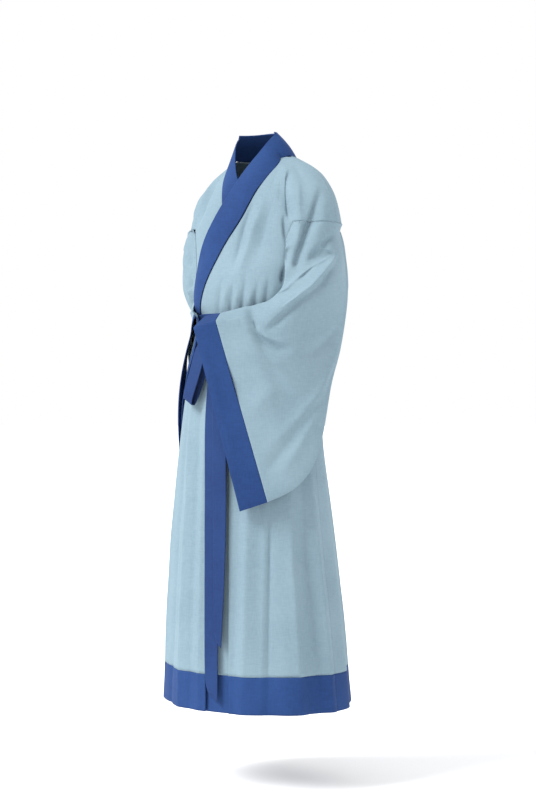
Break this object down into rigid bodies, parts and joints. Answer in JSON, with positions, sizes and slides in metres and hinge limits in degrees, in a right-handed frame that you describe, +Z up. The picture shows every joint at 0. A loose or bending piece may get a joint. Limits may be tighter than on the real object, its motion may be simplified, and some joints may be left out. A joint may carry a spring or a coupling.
{
  "type": "hanfu dress",
  "caption": "Ankle-length cross-collar robe with wide hanging sleeves, contrasting collar, cuff and hem bands and a knotted ribbon belt, in the shape it has when worn.",
  "frame": {"origin": "middle of the neck opening at shoulder height, where the robe hangs from the neck and shoulders", "axes": "+Z up, +X towards the wearer's left, the front faces -Y"},
  "size_m": [0.4888, 0.4626, 1.3706],
  "materials": {
    "cloth": "matte plain weave",
    "band": "matte plain weave",
    "belt": "matte ribbon"
  },
  "bodies": {
    "root": {"front_left": "cloth", "front_right": "cloth", "back_left": "cloth", "back_right": "cloth", "overlap_panel": "cloth", "sleeve_left": "cloth", "sleeve_right": "cloth", "hem_front_left": "band", "hem_overlap": "band", "hem_front_right": "band", "hem_back_left": "band", "hem_back_right": "band", "collar_band": "band", "cuff_left": "band", "cuff_right": "band", "belt": "belt", "belt_knot": "belt", "tail_long": "belt", "tail_short": "belt", "bow_loop": "belt"}
  },
  "joints": []
}
